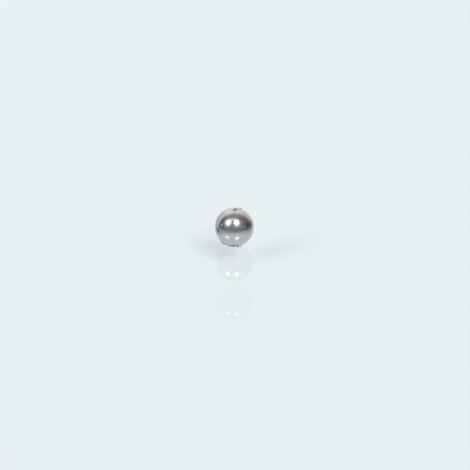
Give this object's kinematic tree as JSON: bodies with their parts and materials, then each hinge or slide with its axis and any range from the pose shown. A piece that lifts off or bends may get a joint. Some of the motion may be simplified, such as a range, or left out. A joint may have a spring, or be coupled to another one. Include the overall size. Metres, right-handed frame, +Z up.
{
  "type": "steel ball",
  "caption": "Solid steel ball, ground and polished to a true sphere, to roll, space, locate or seal in bearings, catches and valves.",
  "frame": {"origin": "centre of the ball", "axes": "+Z up when the ball rests on a level surface; a sphere has no other direction, so +X and +Y only follow the stored row, and the picture's camera looks along +Y and down"},
  "size_m": [0.0032, 0.0032, 0.0032],
  "materials": {
    "polished_steel": "polished"
  },
  "bodies": {
    "root": {"ball": "polished_steel"}
  },
  "joints": []
}
